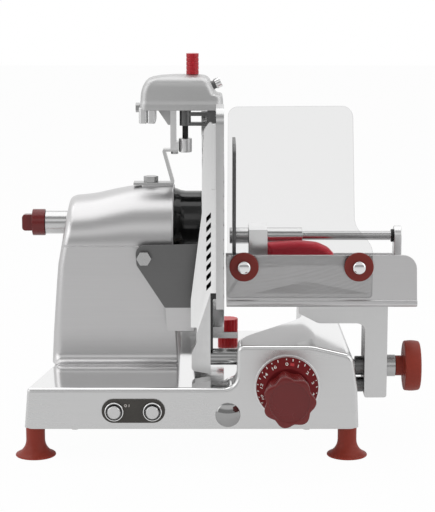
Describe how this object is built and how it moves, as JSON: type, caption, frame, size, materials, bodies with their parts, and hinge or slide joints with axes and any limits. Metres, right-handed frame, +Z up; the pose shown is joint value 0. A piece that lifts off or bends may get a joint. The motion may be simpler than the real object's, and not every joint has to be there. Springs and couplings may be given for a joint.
{
  "type": "electric food slicer",
  "caption": "Upright food slicer with a vertical round blade, thickness dial with cam-driven gauge plate, sliding food carriage with pusher, motor column and top sharpener.",
  "frame": {"origin": "on the table under the middle of the machine's box", "axes": "+X along the blade axis to the operator's right, +Y away from the operator, +Z up"},
  "size_m": [0.482, 0.3925, 0.4556],
  "materials": {
    "cast_aluminium": "polished casting",
    "plate_aluminium": "brushed",
    "satin_cover": "satin",
    "steel": "brushed",
    "dark_steel": "satin",
    "chrome": "mirror",
    "fasteners": "zinc plated",
    "red_brown": "matte",
    "dial_red": "satin",
    "red": "gloss",
    "black": "gloss",
    "panel": "matte",
    "clear": "clear acrylic",
    "bronze": "machined",
    "belt": "matte",
    "abrasive": "abrasive"
  },
  "bodies": {
    "base": {"base_casting": "cast_aluminium", "bottom_cover": "steel", "bottom_cover_screws": "fasteners", "feet": "red_brown", "control_panel": "panel", "button_bezels": "chrome", "switch_block": "black", "front_cap": "chrome", "dial_bezel": "chrome", "gauge_bush": "bronze", "slide_bar": "steel", "motor_housing": "cast_aluminium", "housing_bolts": "fasteners", "motor_stator": "dark_steel", "drive_belt": "belt", "shaft_bearings": "steel", "hub_collar": "black", "blade_guard": "cast_aluminium", "blade_cover": "plate_aluminium", "tie_rod_sleeve": "chrome", "slice_deflector": "dark_steel", "hex_bolts": "fasteners", "sharpener_strip": "steel", "sharpener_post": "steel", "sharpener_cover": "satin_cover"},
    "start_button": {"start_button": "chrome"},
    "stop_button": {"stop_button": "chrome"},
    "dial": {"dial_ring": "dial_red", "dial_knob": "dial_red", "cam_shaft": "steel"},
    "gauge": {"gauge_plate": "plate_aluminium", "gauge_arm": "plate_aluminium", "gauge_spacer": "black", "gauge_shaft": "chrome"},
    "motor_rotor": {"motor_rotor": "steel", "motor_pulley": "steel"},
    "blade": {"blade": "steel", "blade_shaft": "steel", "blade_pulley": "steel", "blade_screws": "fasteners"},
    "tie_rod": {"tie_rod": "steel", "tie_rod_knob": "red_brown"},
    "guard_clamp": {"guard_clamp_knob": "red"},
    "carriage": {"slider_block": "dark_steel", "carriage_arm": "cast_aluminium", "carriage_tray": "plate_aluminium", "clear_guard": "clear", "guard_washers": "red_brown", "guard_screws": "fasteners", "pusher_rod": "steel", "rod_post": "cast_aluminium"},
    "carriage_lock": {"lock_shaft": "chrome", "lock_knob": "red_brown"},
    "pusher": {"pusher_sleeve": "cast_aluminium", "pusher_plate": "plate_aluminium", "pusher_grip": "red"},
    "sharpener_lift": {"lift_plunger": "satin_cover", "lift_knob": "red"},
    "stone": {"grinding_stone": "abrasive"},
    "hone_button": {"hone_button": "chrome"}
  },
  "joints": [
    {"name": "start_press", "type": "slide", "parent": "base", "child": "start_button", "axis": [0, 1, 0], "range_m": [0, 0.003], "stiffness_N_per_m": 400},
    {"name": "stop_press", "type": "slide", "parent": "base", "child": "stop_button", "axis": [0, 1, 0], "range_m": [0, 0.003], "stiffness_N_per_m": 400},
    {"name": "dial_turn", "type": "hinge", "parent": "base", "child": "dial", "pos_m": [0.08, -0.12625, 0.0867], "axis": [0, -1, 0], "range_deg": [0, 320]},
    {"name": "gauge_slide", "type": "slide", "parent": "base", "child": "gauge", "axis": [-1, 0, 0], "range_m": [0, 0.016]},
    {"name": "blade_spin", "type": "hinge", "parent": "base", "child": "blade", "pos_m": [0, 0.05875, 0.248], "axis": [1, 0, 0], "continuous": true},
    {"name": "motor_spin", "type": "hinge", "parent": "base", "child": "motor_rotor", "pos_m": [0, 0.05875, 0.149], "axis": [1, 0, 0], "continuous": true},
    {"name": "tie_rod_turn", "type": "hinge", "parent": "base", "child": "tie_rod", "pos_m": [0, 0.05875, 0.248], "axis": [1, 0, 0], "range_deg": [0, 720]},
    {"name": "guard_clamp_turn", "type": "hinge", "parent": "base", "child": "guard_clamp", "pos_m": [0.0135, 0.15675, 0.094], "axis": [0, 0, 1], "range_deg": [0, 720]},
    {"name": "carriage_slide", "type": "slide", "parent": "base", "child": "carriage", "axis": [0, 1, 0], "range_m": [0, 0.18]},
    {"name": "carriage_lock_turn", "type": "hinge", "parent": "carriage", "child": "carriage_lock", "pos_m": [0.2, -0.04125, 0.091], "axis": [1, 0, 0], "range_deg": [0, 360]},
    {"name": "pusher_slide", "type": "slide", "parent": "carriage", "child": "pusher", "axis": [1, 0, 0], "range_m": [0, 0.105]},
    {"name": "sharpener_raise", "type": "slide", "parent": "base", "child": "sharpener_lift", "axis": [0, 0, 1], "range_m": [0, 0.006]},
    {"name": "stone_spin", "type": "hinge", "parent": "sharpener_lift", "child": "stone", "pos_m": [-0.0394, 0.05875, 0.344], "axis": [0, 0, 1], "continuous": true},
    {"name": "hone_press", "type": "slide", "parent": "base", "child": "hone_button", "axis": [-0.9063, 0, -0.4226], "range_m": [0, 0.003], "stiffness_N_per_m": 400}
  ],
  "couplings": [
    {"joint": "gauge_slide", "follows": "dial_turn", "m_per_rad": 0.0028647},
    {"joint": "motor_spin", "follows": "blade_spin", "ratio": 2.2857}
  ]
}
